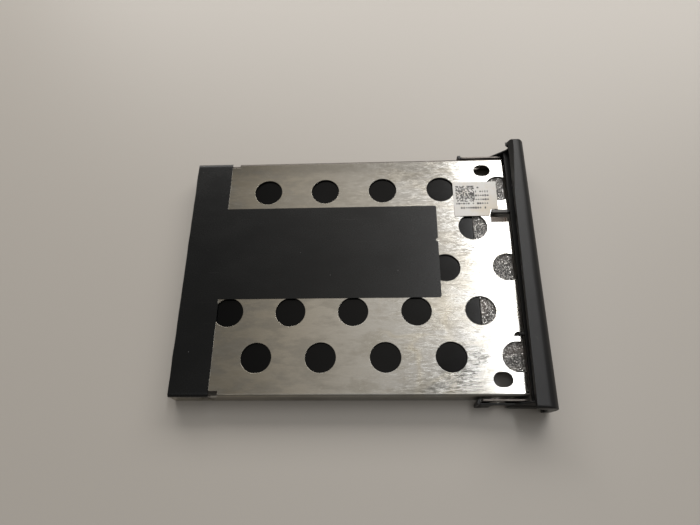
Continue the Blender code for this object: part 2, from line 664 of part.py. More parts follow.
def build_label(builder, material):
    """Thin bare label beside the latch notch, its corner cut off along the notch."""
    far = LABEL_CENTRE + LABEL_WIDTH / 2
    near = LABEL_CENTRE - LABEL_WIDTH / 2
    end = LABEL_START + LABEL_LENGTH
    clear_of_notch = NOTCH_CENTRE + NOTCH_WIDTH / 2 + LABEL_MARGIN
    notch_inner = TRAY_LENGTH - NOTCH_DEPTH - LABEL_MARGIN
    slant = NOTCH_TAPER * (near - NOTCH_CENTRE + NOTCH_WIDTH / 2) / NOTCH_WIDTH
    outline = [(LABEL_START, near), (notch_inner + slant, near), (notch_inner + NOTCH_TAPER, clear_of_notch),
               (end, clear_of_notch), (end, far), (LABEL_START, far)]
    low = PLATE_TOP + FILM_LIFT
    mesh = prism("label", outline, "z", low, low + LABEL_THICKNESS)
    return builder.part("label", mesh, material, (TRAY_START, 0.0, 0.0))


def main():
    """Build the whole caddy."""
    clear_scene()
    builder = Builder()
    shade(build_tray(builder, new_material(*STEEL)))
    shade(build_bezel(builder, new_material(*BLACK_PLASTIC)))
    build_outer_film(builder, new_material(*BLACK_FILM))
    build_inner_film(builder, new_material(*UNDER_FILM))
    build_foam(builder, new_material(*GREY_FOAM))
    build_label(builder, new_material(*THIN_LABEL))


main()
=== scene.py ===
"""Looks of a laptop drive caddy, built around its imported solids.

A folded steel tray with punched holes, a black moulded bezel, two black films, a speckled foam strip and a
thin label lie plate up on a pale table. Lengths are in metres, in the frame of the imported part: +X towards
the bezel, +Y across the tray and +Z up.
"""

import logging
import math
from collections.abc import Callable, Iterable, Sequence
from dataclasses import dataclass
from enum import Enum
from typing import Any

import bmesh
import bpy
from mathutils import Euler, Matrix, Quaternion, Vector, noise


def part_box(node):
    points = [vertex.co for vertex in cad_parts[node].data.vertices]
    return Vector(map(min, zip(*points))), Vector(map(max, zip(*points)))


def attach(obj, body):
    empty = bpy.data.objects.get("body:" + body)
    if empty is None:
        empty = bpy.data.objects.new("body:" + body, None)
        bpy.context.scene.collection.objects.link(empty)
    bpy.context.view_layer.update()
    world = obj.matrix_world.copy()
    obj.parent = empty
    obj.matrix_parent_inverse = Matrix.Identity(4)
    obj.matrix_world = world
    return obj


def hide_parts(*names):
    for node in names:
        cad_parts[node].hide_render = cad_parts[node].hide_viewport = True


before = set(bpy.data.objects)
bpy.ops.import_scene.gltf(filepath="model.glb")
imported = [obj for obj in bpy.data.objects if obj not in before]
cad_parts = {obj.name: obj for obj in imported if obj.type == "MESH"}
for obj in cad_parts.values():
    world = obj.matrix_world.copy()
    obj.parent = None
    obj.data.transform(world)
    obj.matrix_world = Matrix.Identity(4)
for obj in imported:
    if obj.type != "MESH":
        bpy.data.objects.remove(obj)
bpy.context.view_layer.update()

MM = 0.001
BODY = "root"
log = logging.getLogger("drive_caddy")

Colour = tuple[float, float, float]
Place = tuple[float, float, float]
Edge = tuple[float, float]
Band = tuple[float, float, float, float]


class Slot(Enum):
    """Material slots of the record."""

    TRAY = "tray"
    BEZEL = "bezel"
    OUTER_FILM = "outer_film"
    FOAM_STRIP = "foam_strip"
    LABEL = "label"


class Value:
    """A shader socket on which sums can be written."""

    def __init__(self, shader: "Shader", socket: bpy.types.NodeSocket) -> None:
        """Wrap a socket of a shader's tree.

        Args:
            shader: The shader that the socket belongs to.
            socket: The output socket.
        """
        self.shader = shader
        self.socket = socket

    def __add__(self, other: "Value | float") -> "Value":
        """Sum."""
        return self.shader.maths("ADD", self, other)

    def __sub__(self, other: "Value | float") -> "Value":
        """Difference."""
        return self.shader.maths("SUBTRACT", self, other)

    def __rsub__(self, other: "Value | float") -> "Value":
        """Difference from a number."""
        return self.shader.maths("SUBTRACT", other, self)

    def __mul__(self, other: "Value | float") -> "Value":
        """Product."""
        return self.shader.maths("MULTIPLY", self, other)

    __radd__ = __add__
    __rmul__ = __mul__

    def distance(self, level: float) -> "Value":
        """How far the value is from a level, without a sign."""
        return self.shader.maths("ABSOLUTE", self - level)

    def ramp(self, low: float, high: float) -> "Value":
        """Rise smoothly from 0 to 1 between two values.

        Args:
            low: Where the result is 0, which may lie above the high.
            high: Where it is 1.

        Returns:
            The smooth step.
        """
        if low > high:
            return 1.0 - self.ramp(high, low)
        inputs = {0: self, 1: low, 2: high, 3: 0.0, 4: 1.0}
        return self.shader.node("ShaderNodeMapRange", {"interpolation_type": "SMOOTHSTEP"}, inputs)

    def zone(self, places: Edge | Band) -> "Value":
        """Mask a zone along this coordinate.

        Args:
            places: In millimetres, where the zone starts and where it is full, and for a band also where it
                starts to fade and where it ends.

        Returns:
            1 in the zone and 0 outside it.
        """
        start, full, *rest = (place * MM for place in places)
        rise = self.ramp(start, full)
        if not rest:
            return rise
        fade, end = rest
        return rise * self.ramp(end, fade)


class Shader:
    """A Principled material that is being wired."""

    def __init__(self, name: str) -> None:
        """Start a material.

        Args:
            name: The material's name.
        """
        self.material = bpy.data.materials.new(name)
        self.material.use_nodes = True
        self.tree = self.material.node_tree
        self.principled = self.tree.nodes["Principled BSDF"]

    def node(self, kind: str, settings: dict[str, Any] | None = None,
             inputs: dict[str | int, Any] | None = None, output: str | int = 0) -> Value:
        """Add a node.

        Args:
            kind: The node's type.
            settings: Its properties, set before its inputs.
            inputs: Values or links of its sockets, by name or number.
            output: The output to return.

        Returns:
            The chosen output.
        """
        node = self.tree.nodes.new(kind)
        for key, setting in (settings or {}).items():
            setattr(node, key, setting)
        self.set_inputs(node, inputs or {})
        return Value(self, node.outputs[output])

    def set_inputs(self, node: bpy.types.Node, inputs: dict[str | int, Any]) -> None:
        """Set or link a node's input sockets.

        Args:
            node: The node.
            inputs: Values or links, by socket name or number.
        """
        for key, value in inputs.items():
            socket = node.inputs[key]
            if isinstance(value, Value):
                self.tree.links.new(value.socket, socket)
            elif socket.type == "RGBA":
                socket.default_value = (*value, 1.0)
            else:
                socket.default_value = value

    def maths(self, operation: str, *terms: Value | float) -> Value:
        """Add a Math node.

        Args:
            operation: The node's operation.
            terms: Its inputs, in order.

        Returns:
            The node's result.
        """
        return self.node("ShaderNodeMath", {"operation": operation}, dict(enumerate(terms)))

    def axes(self) -> tuple[Value, Value, Value]:
        """Split the object coordinates.

        Returns:
            The coordinates along X, Y and Z.
        """
        source = self.node("ShaderNodeTexCoord", output="Object")
        split = self.node("ShaderNodeSeparateXYZ", None, {0: source}, "X")
        outputs = split.socket.node.outputs
        return split, Value(self, outputs["Y"]), Value(self, outputs["Z"])

    def place(self, stretch: Place = (1.0, 1.0, 1.0), turn: float = 0.0,
              shift: Place = (0.0, 0.0, 0.0)) -> Value:
        """Object coordinates for a pattern.

        Args:
            stretch: Scale along each axis.
            turn: Turn about Z, in degrees, after the scale.
            shift: Offset, in scaled units.

        Returns:
            The mapped coordinates.
        """
        source = self.node("ShaderNodeTexCoord", output="Object")
        inputs = {"Vector": source, "Scale": stretch, "Location": shift,
                  "Rotation": (0.0, 0.0, math.radians(turn))}
        return self.node("ShaderNodeMapping", None, inputs)

    def noise(self, scale: float, detail: float = 3.0, roughness: float = 0.5, distortion: float = 0.0,
              **place: Any) -> Value:
        """Soft noise in object coordinates.

        Args:
            scale: Waves per metre.
            detail: Number of finer layers.
            roughness: Weight of the finer layers.
            distortion: How much the noise bends itself.
            place: Arguments of place.

        Returns:
            The noise, about 0.3 to 0.7.
        """
        inputs = {"Vector": self.place(**place), "Scale": scale, "Detail": detail, "Roughness": roughness,
                  "Distortion": distortion}
        return self.node("ShaderNodeTexNoise", None, inputs)

    def blend(self, factor: Value | float, first: Value | Colour, second: Value | Colour) -> Value:
        """Blend two colours.

        Args:
            factor: 0 for the first colour, 1 for the second.
            first: A colour.
            second: Another colour.

        Returns:
            The blended colour.
        """
        settings = {"data_type": "RGBA", "clamp_factor": True}
        return self.node("ShaderNodeMix", settings, {0: factor, 6: first, 7: second}, 2)

    def bump(self, height: Value, depth: float, strength: float = 1.0, normal: Value | None = None) -> Value:
        """Turn a height into a normal.

        Args:
            height: The height, in units of the depth.
            depth: Metres for a height of 1.
            strength: How much of the bump shows.
            normal: A normal that the bump adds to.

        Returns:
            The bumped normal.
        """
        inputs: dict[str | int, Any] = {"Strength": strength, "Distance": depth, "Height": height}
        if normal is not None:
            inputs["Normal"] = normal
        return self.node("ShaderNodeBump", None, inputs)

    def dress(self, **sockets: Any) -> bpy.types.Material:
        """Set the Principled shader's sockets, with _ for a space in their names.

        Args:
            sockets: Values or links.

        Returns:
            The finished material.
        """
        named = {key.replace("_", " "): value for key, value in sockets.items()}
        self.set_inputs(self.principled, named)
        return self.material


@dataclass(frozen=True)
class SteelPlaces:
    """Where the tray's steel differs, in millimetres, as Value.zone reads them."""

    stain_along: Band = (4.0, 9.0, 23.0, 27.0)
    stain_near: Edge = (-5.0, -10.0)
    worn_along: Edge = (-2.0, 20.0)
    lively_along: Edge = (-12.0, 16.0)
    aged_along: Edge = (15.0, -35.0)
    smear_along: Band = (10.0, 15.0, 24.0, 27.0)
    smear_far: Edge = (28.2, 29.6)
    # where shade is painted along the far edge, with some soot
    far_shade_along: Edge = (24.0, 6.0)
    far_shade_across: Edge = (30.0, 33.5)
    rubbed_near: Edge = (1.0, -10.0)
    rubbed_far: Band = (11.0, 18.0, 25.0, 30.0)
    # where shade and a warm reflection are painted on the latch tab
    tab_along: Edge = (36.7, 37.1)
    tab_across: Band = (13.7, 13.9, 18.1, 18.3)
    tab_height: Edge = (6.20, 6.12)
    hem_far: Edge = (36.10, 36.25)
    hem_near: Edge = (-36.10, -36.25)
    hem_height: Edge = (5.50, 5.58)
    # where shade is painted over the folds' glints
    fold_far: Band = (34.98, 35.08, 35.85, 35.95)
    fold_near: Band = (-35.95, -35.85, -35.08, -34.98)
    plate_across: Band = (-35.0, -34.9, 34.9, 35.0)
    wall_height: Band = (5.70, 5.74, 6.180, 6.198)
    # where shade is painted on the tray's inner faces, under the plate
    inner_shade_across: Band = (-35.28, -35.22, 35.22, 35.28)
    inner_shade_height: Edge = (5.68, 5.64)


class SteelSurface:
    """Patterns and places of the steel that its colour, roughness and relief share."""

    def __init__(self, shader: Shader, places: SteelPlaces) -> None:
        """Wire the patterns and the places.

        Args:
            shader: The steel's shader.
            places: Where the steel differs.
        """
        self.shader = shader
        self.places = places
        self.x, self.y, self.z = shader.axes()
        self.wire_patterns()
        self.wire_cuts()

    def wire_patterns(self) -> None:
        """Wire the grain, scratches, frost, clouds and smudges, which run along the rolling direction."""
        rolled = self.shader.noise
        self.grain = rolled(1.0, 3.0, 0.6, stretch=(420.0, 3000.0, 3000.0), turn=1.0)
        self.scratches = rolled(1.0, 4.0, 0.7, stretch=(480.0, 3300.0, 3300.0), turn=2.0,
                                shift=(2.3, 0.9, 0.0))
        self.frost = rolled(1.0, 5.0, 0.7, 0.3, stretch=(620.0, 2300.0, 2300.0), turn=7.0)
        self.smudge = rolled(1.0, 4.0, 0.65, stretch=(95.0, 230.0, 230.0), turn=4.0, shift=(1.1, 3.7, 0.0))
        self.clouds = rolled(60.0, 4.0, 0.6, 0.5, shift=(0.7, 0.2, 0.0))
        self.lively = self.x.zone(self.places.lively_along)

    def wire_cuts(self) -> None:
        """Wire the folds and the inner side, where shade is painted, and the cut edges and the walls of the
        holes.
        """
        places = self.places
        hems = self.y.zone(places.hem_far) + self.y.zone(places.hem_near)
        self.shorn = hems * self.z.zone(places.hem_height)
        # painted shade over the folds' glints, full on the far fold and weaker on the near one
        self.fold = self.y.zone(places.fold_far) + 0.45 * self.y.zone(places.fold_near)
        self.wall = self.z.zone(places.wall_height) * self.y.zone(places.plate_across)
        # painted shade on the inner faces, which keeps lamp light off them
        self.inside = self.z.zone(places.inner_shade_height) * self.y.zone(places.inner_shade_across)

    def stains(self) -> Value:
        """Draw thin dried rims of stains on the plate's near side.

        Returns:
            The mask of the rims.
        """
        blot = self.shader.noise(52.0, 2.0, 0.45, 0.9, shift=(4.1, 2.6, 0.0))
        rim = blot.distance(0.53).ramp(0.055, 0.0)
        return rim * self.x.zone(self.places.stain_along) * self.y.zone(self.places.stain_near)

    def dirt(self) -> Value:
        """Draw dark scratches towards the bezel and a smear near the far edge.

        Returns:
            The mask of the dirt.
        """
        scattered = self.scratches.ramp(0.58, 0.70) * self.x.zone(self.places.worn_along)
        smear = self.x.zone(self.places.smear_along) * self.y.zone(self.places.smear_far)
        return scattered * self.clouds.ramp(0.44, 0.60) + smear * self.scratches.ramp(0.36, 0.60)

    def soot_and_shade(self) -> Value:
        """Painted shade along the plate's far edge, with some soot in it."""
        return self.y.zone(self.places.far_shade_across) * self.x.zone(self.places.far_shade_along)

    def mottle(self) -> Value:
        """Fine and coarse mottling of the dull skin."""
        fine = self.grain.ramp(0.35, 0.65) * 0.25 + self.frost.ramp(0.35, 0.65) * 0.35
        return (self.clouds.ramp(0.38, 0.62) * 0.5 + fine) * 0.4 + self.smudge.ramp(0.40, 0.60) * 0.6

    def tab(self) -> Value:
        """The tab that is pressed down in the latch notch, where shade and a warm reflection are painted."""
        area = self.x.zone(self.places.tab_along) * self.y.zone(self.places.tab_across)
        return area * self.z.zone(self.places.tab_height)

    def rubbed(self) -> Value:
        """Where the plate is rubbed, on its near side and in a lane beside the film's tongue."""
        lanes = self.y.zone(self.places.rubbed_near) + self.y.zone(self.places.rubbed_far) * 0.7
        return lanes * self.clouds.ramp(0.30, 0.55)


@dataclass(frozen=True)
class SteelRoughness:
    """How rough the clean steel is and what each mark adds; the lively end is the one at the bezel."""

    clean: float = 0.078
    rubbed: float = 0.055
    frost: float = 0.030
    lively_frost: float = 0.085
    calm_end: float = 0.035
    lively_end: float = 0.012
    scratches: float = 0.10
    lively_scratches: float = 0.24
    smudges: float = 0.20
    hems: float = 0.2
    cuts: float = 0.4


@dataclass(frozen=True)
class BrushedSteel:
    """Bright rolled steel: grain, frosted rubbing, thin stains, dark smears, dulled cuts, painted shade on
    its folds.
    """

    base: Colour = (0.635, 0.632, 0.612)
    dull: Colour = (0.46, 0.438, 0.388)
    stain: Colour = (0.66, 0.60, 0.46)
    # colour of the soot and smears, also laid along the far edge as painted shade
    soot_and_shade: Colour = (0.22, 0.21, 0.19)
    # painted shade and warm reflection on the latch tab
    tab_shade: Colour = (0.13, 0.085, 0.055)
    # dark colour of the cut edges, also laid on the folds as painted shade
    shorn: Colour = (0.12, 0.108, 0.098)
    # painted shade of the tray's inner faces
    inside: Colour = (0.22, 0.195, 0.17)
    aged: Colour = (0.72, 0.66, 0.545)
    stain_weight: float = 0.3
    far_shade_weight: float = 0.36
    dirt_weight: float = 0.45
    tab_shade_weight: float = 0.85
    wall_weight: float = 0.8
    relief: float = 0.010 * MM
    places: SteelPlaces = SteelPlaces()
    roughness: SteelRoughness = SteelRoughness()

    def colour(self, steel: SteelSurface) -> Value:
        """Lay the colours over each other, from the clean sheet to its cut edges.

        Args:
            steel: The steel's patterns and places.

        Returns:
            The colour.
        """
        clean = steel.shader.blend(steel.x.zone(self.places.aged_along), self.base, self.aged)
        layers = ((steel.mottle(), self.dull), (steel.stains() * self.stain_weight, self.stain),
                  # painted shade along the far edge, then the dirt
                  (steel.soot_and_shade() * self.far_shade_weight, self.soot_and_shade), (steel.dirt() * self.dirt_weight, self.soot_and_shade),
                  # painted shade and warm reflection on the latch tab
                  (steel.tab() * self.tab_shade_weight, self.tab_shade),
                  # cut edges, and the folds with painted shade in the cut edges' colour
                  (steel.shorn + steel.fold + steel.wall * self.wall_weight, self.shorn),
                  # painted shade on the inner faces
                  (steel.inside, self.inside))
        for mask, colour in layers:
            clean = steel.shader.blend(mask, clean, colour)
        return clean

    def rough(self, steel: SteelSurface) -> Value:
        """Roughen the rubbed, frosted and cut places.

        Args:
            steel: The steel's patterns and places.

        Returns:
            The roughness.
        """
        add, lively = self.roughness, steel.lively
        frosted = steel.frost.ramp(0.38, 0.62) * (lively * add.lively_frost + add.frost)
        ends = (1.0 - lively) * add.calm_end + lively * add.lively_end
        scratched = (steel.scratches - 0.5) * (lively * add.lively_scratches + add.scratches)
        cuts = add.hems * steel.shorn + add.cuts * (steel.inside + steel.fold + steel.wall)
        marks = add.rubbed * steel.rubbed() + add.smudges * (steel.smudge - 0.5)
        return add.clean + frosted + ends + scratched + cuts + marks

    def material(self) -> bpy.types.Material:
        """Wire the steel.

        Returns:
            The material.
        """
        shader = Shader("brushed_steel")
        steel = SteelSurface(shader, self.places)
        lines = 0.30 * steel.scratches + 0.16 * steel.frost
        height = 0.45 * steel.grain + (steel.lively + 0.25) * lines
        return shader.dress(Base_Color=self.colour(steel), Metallic=1.0, Roughness=self.rough(steel),
                            Normal=shader.bump(height, self.relief, 0.6))


@dataclass(frozen=True)
class MouldedPlastic:
    """Matt black plastic with a fine spark-eroded grain, pale rubbed spots and a painted highlight on the
    latch bar.
    """

    base: Colour = (0.0085, 0.0085, 0.0090)
    rubbed: Colour = (0.036, 0.035, 0.034)
    # painted highlight that lightens the latch bar's top
    latch_highlight: Colour = (0.15, 0.145, 0.14)
    roughness: float = 0.42
    gloss: float = 0.42
    relief: float = 0.018 * MM
    rubbed_weight: float = 0.6
    latch_end: Edge = (43.0, 42.8)
    latch_across: Band = (13.9, 14.1, 18.8, 19.0)
    latch_height: Edge = (1.0, 1.2)

    def material(self) -> bpy.types.Material:
        """Wire the plastic.

        Returns:
            The material.
        """
        shader = Shader("moulded_plastic")
        grain = shader.noise(5200.0, 3.0, 0.6)
        cloud = shader.noise(140.0, 5.0, 0.6)
        rubbed = shader.noise(700.0, 6.0, 0.7).ramp(0.58, 0.72) * cloud.ramp(0.45, 0.6)
        x, y, z = shader.axes()
        latch = x.zone(self.latch_end) * y.zone(self.latch_across) * z.zone(self.latch_height)
        colour = shader.blend(rubbed * self.rubbed_weight, self.base, self.rubbed)
        # painted highlight: the latch bar is made a lighter grey
        colour = shader.blend(latch, colour, self.latch_highlight)
        rough = self.roughness + 0.12 * (cloud - 0.5) + 0.30 * (grain - 0.5)
        return shader.dress(Base_Color=colour, Roughness=rough, Specular_IOR_Level=self.gloss,
                            Normal=shader.bump(grain, self.relief, 0.8))


@dataclass(frozen=True)
class BlackFilm:
    """Satin black insulating film, faintly wavy, with light scuffs."""

    name: str = "black_film"
    base: Colour = (0.0024, 0.0029, 0.0033)
    scuff: Colour = (0.020, 0.020, 0.020)
    roughness: float = 0.265
    gloss: float = 0.42
    scuff_weight: float = 0.5
    wave_height: float = 0.06 * MM
    grain_height: float = 0.006 * MM

    def material(self) -> bpy.types.Material:
        """Wire the film.

        Returns:
            The material.
        """
        shader = Shader(self.name)
        grain = shader.noise(3800.0, 3.0, 0.55)
        waves = shader.noise(75.0, 2.0, 0.5, stretch=(1.0, 1.6, 1.0))
        lines = shader.noise(1.0, 4.0, 0.6, stretch=(55.0, 2400.0, 2400.0), turn=2.0)
        scuffed = lines.ramp(0.62, 0.72) * shader.noise(90.0, 3.0).ramp(0.5, 0.62)
        colour = shader.blend(scuffed * self.scuff_weight, self.base, self.scuff)
        rough = self.roughness + 0.10 * (waves - 0.5) + 0.10 * (grain - 0.5)
        soft = shader.bump(waves, self.wave_height, 0.5)
        return shader.dress(Base_Color=colour, Roughness=rough, Specular_IOR_Level=self.gloss,
                            Normal=shader.bump(grain, self.grain_height, 0.5, soft))


@dataclass(frozen=True)
class SpeckledFoam:
    """Dark grey foam with a warm tint and pale specks."""

    base: Colour = (0.034, 0.031, 0.028)
    pale: Colour = (0.55, 0.535, 0.51)
    warm: Colour = (0.15, 0.108, 0.088)
    warm_weight: float = 0.4
    roughness: float = 0.50
    relief: float = 0.04 * MM

    def material(self) -> bpy.types.Material:
        """Wire the foam.

        Returns:
            The material.
        """
        shader = Shader("speckled_foam")
        specks = shader.noise(3300.0, 2.0, 0.6)
        cloud = shader.noise(120.0, 3.0, 0.5)
        colour = shader.blend(cloud.ramp(0.42, 0.60) * self.warm_weight, self.base, self.warm)
        colour = shader.blend(specks.ramp(0.55, 0.58), colour, self.pale)
        return shader.dress(Base_Color=colour, Roughness=self.roughness,
                            Normal=shader.bump(specks, self.relief, 0.7))


@dataclass(frozen=True)
class PlainFinish:
    """A finish that is the same all over."""

    name: str
    base: Colour
    roughness: float
    metallic: float = 0.0

    def material(self) -> bpy.types.Material:
        """Wire the finish.

        Returns:
            The material.
        """
        return Shader(self.name).dress(Base_Color=self.base, Metallic=self.metallic, Roughness=self.roughness)


BRIGHT_FLAKE = PlainFinish("bright_flake", (0.80, 0.79, 0.76), roughness=0.22, metallic=0.85)
PRINT_INK = PlainFinish("print_ink", (0.045, 0.042, 0.040), roughness=0.5)
LINT = PlainFinish("lint", (0.10, 0.10, 0.10), roughness=0.9)


@dataclass(frozen=True)
class LabelFilm:
    """Thin whitish label, yellowed towards its near corner beside the bezel."""

    base: Colour = (0.76, 0.745, 0.72)
    tinted: Colour = (0.72, 0.64, 0.51)
    roughness: float = 0.38
    relief: float = 0.03 * MM
    cloud_weight: float = 0.35
    aged_weight: float = 0.75
    aged_along: Edge = (32.0, 39.0)
    aged_across: Edge = (25.5, 17.5)

    def material(self) -> bpy.types.Material:
        """Wire the label.

        Returns:
            The material.
        """
        shader = Shader("label_film")
        cloud = shader.noise(420.0, 4.0, 0.55)
        fibres = shader.noise(2400.0, 3.0, 0.6)
        x, y, _ = shader.axes()
        aged = x.zone(self.aged_along) * y.zone(self.aged_across) * self.aged_weight
        colour = shader.blend(cloud.ramp(0.45, 0.7) * self.cloud_weight + aged, self.base, self.tinted)
        return shader.dress(Base_Color=colour, Roughness=self.roughness + 0.1 * (fibres - 0.5),
                            Normal=shader.bump(cloud, self.relief, 0.4))


@dataclass(frozen=True)
class TableTop:
    """Plain pale table."""

    base: Colour = (0.50, 0.470, 0.430)
    roughness: float = 0.42
    unevenness: float = 0.06

    def material(self) -> bpy.types.Material:
        """Wire the table.

        Returns:
            The material.
        """
        shader = Shader("table_top")
        cloud = shader.noise(6.0, 2.0, 0.4)
        return shader.dress(Base_Color=self.base, Roughness=self.roughness + self.unevenness * (cloud - 0.5))


class Recipe:
    """A Geometry Nodes tree that is being wired, with named sizes."""

    def __init__(self, name: str, finish: bpy.types.Material) -> None:
        """Start a tree.

        Args:
            name: The tree's name.
            finish: The material that its result gets.
        """
        self.tree = bpy.data.node_groups.new(name, "GeometryNodeTree")
        self.finish = finish
        self.values: dict[str, Any] = {}
        face = self.tree.interface
        face.new_socket("Geometry", in_out="INPUT", socket_type="NodeSocketGeometry")
        face.new_socket("Geometry", in_out="OUTPUT", socket_type="NodeSocketGeometry")
        self.given = self.tree.nodes.new("NodeGroupInput")
        self.result = self.tree.nodes.new("NodeGroupOutput")

    @property
    def ground(self) -> bpy.types.NodeSocket:
        """The mesh that the tree works on."""
        return self.given.outputs["Geometry"]

    def size(self, name: str, value: float | int | Place) -> bpy.types.NodeSocket:
        """Add a named input.

        Args:
            name: The input's name.
            value: Its value; its type sets the socket's.

        Returns:
            The socket to link from.
        """
        kind = {int: "NodeSocketInt", float: "NodeSocketFloat"}.get(type(value), "NodeSocketVector")
        self.tree.interface.new_socket(name, in_out="INPUT", socket_type=kind)
        self.values[name] = value
        return self.given.outputs[name]

    def node(self, kind: str, settings: dict[str, Any] | None = None,
             inputs: dict[str | int, Any] | None = None, output: str | int = 0) -> bpy.types.NodeSocket:
        """Add a node.

        Args:
            kind: The node's type.
            settings: Its properties, set before its inputs.
            inputs: Values or links of its sockets, by name or number.
            output: The output to return.

        Returns:
            The chosen output.
        """
        node = self.tree.nodes.new(kind)
        for key, setting in (settings or {}).items():
            setattr(node, key, setting)
        for key, value in (inputs or {}).items():
            if isinstance(value, bpy.types.NodeSocket):
                self.tree.links.new(value, node.inputs[key])
            else:
                node.inputs[key].default_value = value
        return node.outputs[output]

    def chance(self, low: Place | float, high: Place | float, seed: bpy.types.NodeSocket,
               offset: int) -> bpy.types.NodeSocket:
        """A random number or vector for each point.

        Args:
            low: Lowest value.
            high: Highest value; a tuple makes a vector.
            seed: The recipe's seed.
            offset: Added to the seed.

        Returns:
            The random field.
        """
        vector = isinstance(high, tuple)
        shifted = self.shifted(seed, offset)
        kind = "FLOAT_VECTOR" if vector else "FLOAT"
        first = 0 if vector else 2
        inputs = {first: low, first + 1: high, "Seed": shifted}
        return self.node("FunctionNodeRandomValue", {"data_type": kind}, inputs, 0 if vector else 1)

    def shifted(self, seed: bpy.types.NodeSocket, offset: int) -> bpy.types.NodeSocket:
        """The recipe's seed plus an offset."""
        return self.node("ShaderNodeMath", {"operation": "ADD"}, {0: seed, 1: float(offset)})

    def chosen(self, share: bpy.types.NodeSocket, seed: bpy.types.NodeSocket) -> bpy.types.NodeSocket:
        """Choose some of the points at random.

        Args:
            share: The share that is chosen.
            seed: The seed.

        Returns:
            The random yes or no.
        """
        inputs = {"Probability": share, "Seed": seed}
        return self.node("FunctionNodeRandomValue", {"data_type": "BOOLEAN"}, inputs, 3)

    def instances(self, points: bpy.types.NodeSocket, shape: bpy.types.NodeSocket,
                  **inputs: Any) -> bpy.types.NodeSocket:
        """Put a shape on points.

        Args:
            points: Where the shapes go.
            shape: The shape.
            inputs: Rotation, Scale or Selection.

        Returns:
            The instances.
        """
        placed = {"Points": points, "Instance": shape, **inputs}
        return self.node("GeometryNodeInstanceOnPoints", None, placed)

    def bake(self, name: str, ground: bpy.types.Mesh | None,
             *shapes: bpy.types.NodeSocket) -> bpy.types.Object:
        """Realize the shapes, give them the finish and turn them into a plain mesh.

        Args:
            name: The piece's name.
            ground: The mesh that the tree works on, if any.
            shapes: What the tree made.

        Returns:
            The piece.
        """
        joined = self.tree.nodes.new("GeometryNodeJoinGeometry")
        for shape in shapes:
            self.tree.links.new(shape, joined.inputs[0])
        real = self.node("GeometryNodeRealizeInstances", None, {0: joined.outputs[0]})
        dressed = self.node("GeometryNodeSetMaterial", None, {"Geometry": real, "Material": self.finish})
        self.tree.links.new(dressed, self.result.inputs[0])
        item = link(name, ground or bpy.data.meshes.new(name))
        modifier = item.modifiers.new(self.tree.name, "NODES")
        modifier.node_group = self.tree
        for socket in self.tree.interface.items_tree:
            if socket.name in self.values:
                modifier[socket.identifier] = self.values[socket.name]
        return settle(item, self.finish)


def link(name: str, mesh: bpy.types.Mesh) -> bpy.types.Object:
    """Put a mesh in the scene.

    Args:
        name: The object's name.
        mesh: Its mesh.

    Returns:
        The object.
    """
    item = bpy.data.objects.new(name, mesh)
    bpy.context.scene.collection.objects.link(item)
    return item


def settle(item: bpy.types.Object, finish: bpy.types.Material) -> bpy.types.Object:
    """Turn an object's modifiers into plain mesh and give it one material.

    Args:
        item: The object.
        finish: Its material.

    Returns:
        The same object.
    """
    bpy.context.view_layer.update()
    evaluated = item.evaluated_get(bpy.context.evaluated_depsgraph_get())
    mesh = bpy.data.meshes.new_from_object(evaluated)
    item.modifiers.clear()
    mesh.name = item.name
    item.data = mesh
    mesh.materials.clear()
    mesh.materials.append(finish)
    return item


def assign(node: bpy.types.Object, finish: bpy.types.Material) -> None:
    """Give a CAD node a better material.

    Args:
        node: The node's object.
        finish: The material.
    """
    for slot in node.material_slots:
        slot.material = finish


def piece(item: bpy.types.Object, slot: Slot, *stands_for: str) -> None:
    """Attach a finished piece to the body, hide the CAD nodes that it replaces, and report it.

    Args:
        item: The piece.
        slot: The record's material slot; not used.
        stands_for: CAD nodes that it replaces.
    """
    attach(item, BODY)
    if stands_for:
        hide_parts(*stands_for)
    log.info("piece %s: %d faces", item.name, len(item.data.polygons))


@dataclass
class EdgedSolid:
    """A CAD solid with its sharp edges broken as tools leave them."""

    node: str
    edge: float
    segments: int = 2
    sharp: float = math.radians(30.0)
    weld: float = 0.0005 * MM
    flat: float = math.radians(0.6)

    def merged(self, name: str, shift: Callable[[Vector], float] | None) -> bpy.types.Object:
        """Copy the node with its doubles merged and its flat faces whole.

        Args:
            name: The copy's name.
            shift: How far a point moves along X, if any does.

        Returns:
            The copy.
        """
        bm = bmesh.new()
        bm.from_mesh(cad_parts[self.node].data)
        bmesh.ops.remove_doubles(bm, verts=bm.verts, dist=self.weld)
        if shift is not None:
            for vertex in bm.verts:
                vertex.co.x += shift(vertex.co)
        bmesh.ops.dissolve_limit(bm, angle_limit=self.flat, verts=bm.verts, edges=bm.edges)
        mesh = bpy.data.meshes.new(name)
        bm.to_mesh(mesh)
        bm.free()
        return link(name, mesh)

    def build(self, name: str, finish: bpy.types.Material,
              shift: Callable[[Vector], float] | None = None) -> bpy.types.Object:
        """Break the edges and dress the copy.

        Args:
            name: The piece's name.
            finish: Its material.
            shift: How far a point moves along X, if any does.

        Returns:
            The piece.
        """
        item = self.merged(name, shift)
        item.data.shade_smooth()
        bevel = item.modifiers.new("edges", "BEVEL")
        bevel.width = self.edge
        bevel.segments = self.segments
        bevel.limit_method = "ANGLE"
        bevel.angle_limit = self.sharp
        bevel.use_clamp_overlap = False
        normals = item.modifiers.new("flat_faces", "WEIGHTED_NORMAL")
        normals.weight = 100
        normals.keep_sharp = False
        return settle(item, finish)


@dataclass
class SteelTray:
    """The folded and punched tray."""

    edge: float = 0.05 * MM

    def build(self) -> None:
        steel = BrushedSteel().material()
        item = EdgedSolid("tray", self.edge).build("steel_tray", steel)
        piece(item, Slot.TRAY, "tray")


